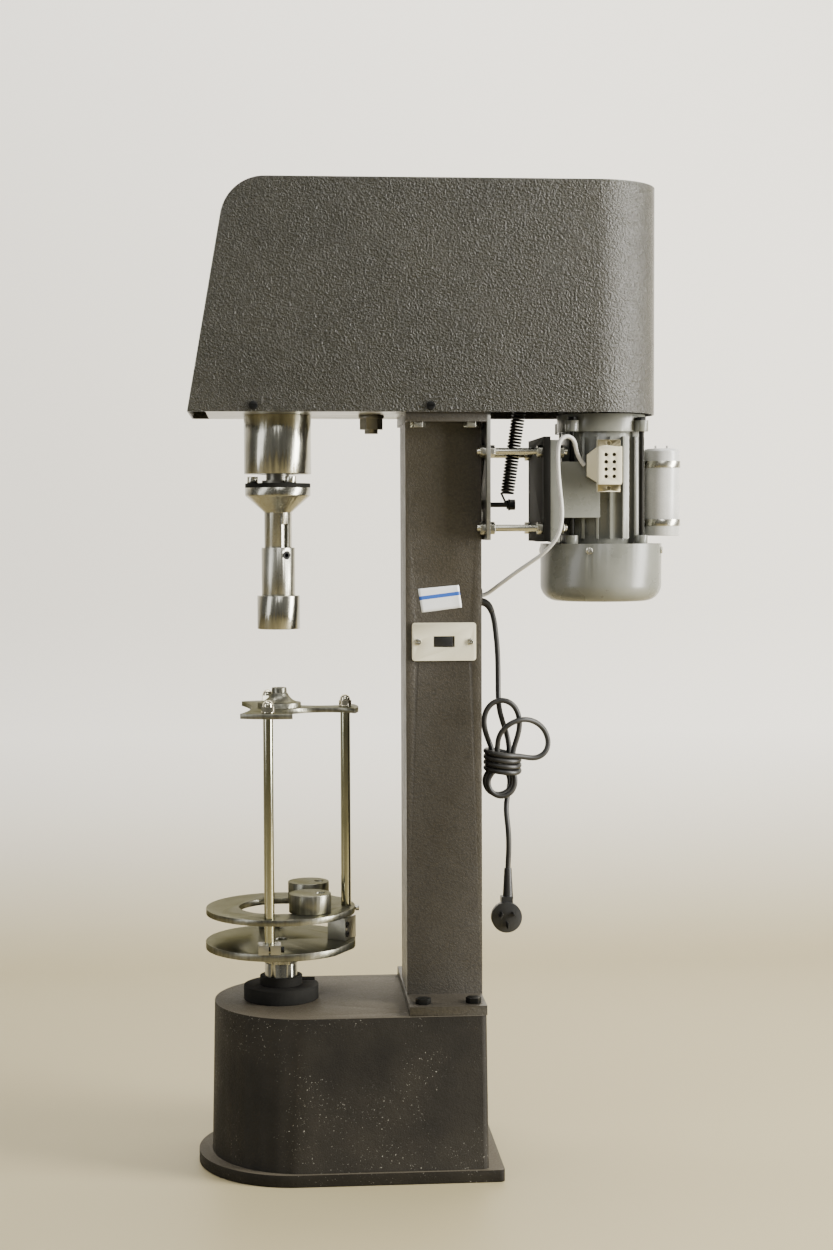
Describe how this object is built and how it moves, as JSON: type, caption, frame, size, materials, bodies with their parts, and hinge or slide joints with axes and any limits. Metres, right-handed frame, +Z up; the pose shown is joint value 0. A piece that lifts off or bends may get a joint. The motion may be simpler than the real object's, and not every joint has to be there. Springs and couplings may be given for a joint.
{
  "type": "bottle capping machine",
  "caption": "Floor-standing bottle capping machine: cast base, square column, belt-driven spindle with spring chuck under a sheet cover, rear motor, and an adjustable bottle rack.",
  "frame": {"origin": "on the floor, where the spindle axis meets the underside of the base", "axes": "+Z up along the spindle axis, +X from the spindle back towards the motor, +Y to the side away from the switch plate"},
  "size_m": [0.5905, 0.238, 1.164],
  "materials": {
    "frame_paint": "satin hammered paint",
    "black_paint": "satin",
    "black_steel": "black oxide",
    "plate_steel": "machined",
    "polished_steel": "polished",
    "motor_paint": "semi-gloss",
    "cast_pulley": "turned",
    "capacitor_case": "gloss",
    "cream_plastic": "gloss",
    "black_plastic": "matte",
    "black_rubber": "matte",
    "lead_sheath": "matte"
  },
  "bodies": {
    "root": {"base_casting": "frame_paint", "base_plate": "black_paint", "column": "frame_paint", "frame_bolts": "black_steel", "head_plate": "plate_steel", "cover": "frame_paint", "panel_screws": "black_steel", "bearing_housing": "polished_steel", "ball_bearings": "plate_steel", "lever_bracket": "frame_paint", "lever_pin": "plate_steel", "idler_axle": "plate_steel", "motor_bracket": "motor_paint", "motor_studs": "plate_steel", "motor_plate": "black_paint", "motor_housing": "motor_paint", "motor_stator": "plate_steel", "end_shield": "motor_paint", "fan_cowl": "motor_paint", "motor_bolts": "black_steel", "capacitor": "capacitor_case", "terminal_block": "cream_plastic", "spring_bolt": "black_paint", "return_spring": "black_paint", "switch_plate": "cream_plastic", "cord_glands": "black_plastic", "motor_lead": "lead_sheath", "power_cord": "black_rubber", "cord_hank": "black_rubber", "power_plug": "black_plastic", "post_flange": "black_paint", "drive_belts": "black_rubber"},
    "rotor": {"motor_rotor": "plate_steel", "motor_fan": "black_plastic", "motor_pulley": "cast_pulley"},
    "idler": {"idler_pulley": "cast_pulley"},
    "pulley": {"spindle_pulley": "cast_pulley"},
    "lever": {"feed_lever": "frame_paint"},
    "feed": {"thrust_collar": "plate_steel"},
    "spindle": {"spindle_shaft": "plate_steel", "drive_disc": "black_paint", "disc_screws": "black_steel", "spindle_cone": "polished_steel"},
    "chuck": {"chuck_sleeve": "polished_steel", "chuck_cup": "polished_steel", "chuck_liner": "black_rubber", "guide_screw": "black_steel"},
    "rack": {"rack_post": "plate_steel", "rack_disc": "polished_steel", "rack_rods": "polished_steel", "rod_clamps": "plate_steel", "clamp_screws": "black_steel", "top_spider": "polished_steel", "dome_nuts": "polished_steel"},
    "ring": {"stop_ring": "polished_steel", "ring_screws": "plate_steel"},
    "near_stop": {"stop_near": "polished_steel"},
    "far_stop": {"stop_far": "polished_steel"},
    "lock": {"lock_ring": "black_paint"},
    "switch_rocker": {"rocker": "black_plastic"}
  },
  "joints": [
    {"name": "motor_spin", "type": "hinge", "parent": "root", "child": "rotor", "pos_m": [0.3895, 0, 0.8], "axis": [0, 0, 1], "continuous": true},
    {"name": "idler_spin", "type": "hinge", "parent": "root", "child": "idler", "pos_m": [0.112, 0, 0.93], "axis": [0, 0, 1], "continuous": true},
    {"name": "pulley_spin", "type": "hinge", "parent": "root", "child": "pulley", "pos_m": [0, 0, 0.93], "axis": [0, 0, 1], "continuous": true},
    {"name": "spindle_feed", "type": "slide", "parent": "root", "child": "feed", "axis": [0, 0, -1], "range_m": [0, 0.03], "stiffness_N_per_m": 2000, "springref_m": -0.03},
    {"name": "spindle_spin", "type": "hinge", "parent": "feed", "child": "spindle", "pos_m": [0, 0, 0.9], "axis": [0, 0, 1], "continuous": true},
    {"name": "chuck_slide", "type": "slide", "parent": "spindle", "child": "chuck", "axis": [0, 0, 1], "range_m": [0, 0.02], "stiffness_N_per_m": 1500, "springref_m": -0.01},
    {"name": "lever_swing", "type": "hinge", "parent": "root", "child": "lever", "pos_m": [0.1945, 0, 1.047], "axis": [0, -1, 0], "range_deg": [0, 9], "deforming": ["return_spring"]},
    {"name": "rack_height", "type": "slide", "parent": "root", "child": "rack", "axis": [0, 0, 1], "range_m": [-0.014, 0.03]},
    {"name": "ring_height", "type": "slide", "parent": "rack", "child": "ring", "axis": [0, 0, 1], "range_m": [-0.003, 0.2]},
    {"name": "near_stop_turn", "type": "hinge", "parent": "ring", "child": "near_stop", "pos_m": [0.047, -0.0395, 0.317], "axis": [0, 0, 1], "range_deg": [-60, 60]},
    {"name": "far_stop_turn", "type": "hinge", "parent": "ring", "child": "far_stop", "pos_m": [0.047, 0.0395, 0.317], "axis": [0, 0, 1], "range_deg": [-60, 60]},
    {"name": "lock_turn", "type": "hinge", "parent": "root", "child": "lock", "pos_m": [0, 0, 0.2165], "axis": [0, 0, 1], "range_deg": [-90, 0]},
    {"name": "switch_rock", "type": "hinge", "parent": "root", "child": "switch_rocker", "pos_m": [0.1945, -0.041, 0.626], "axis": [0, 0, 1], "range_deg": [0, 16]}
  ],
  "couplings": [
    {"joint": "idler_spin", "follows": "motor_spin", "ratio": 0.42373},
    {"joint": "pulley_spin", "follows": "motor_spin", "ratio": 0.20109},
    {"joint": "spindle_spin", "follows": "motor_spin", "ratio": 0.20109},
    {"joint": "lever_swing", "follows": "spindle_feed", "rad_per_m": 5.1616}
  ]
}
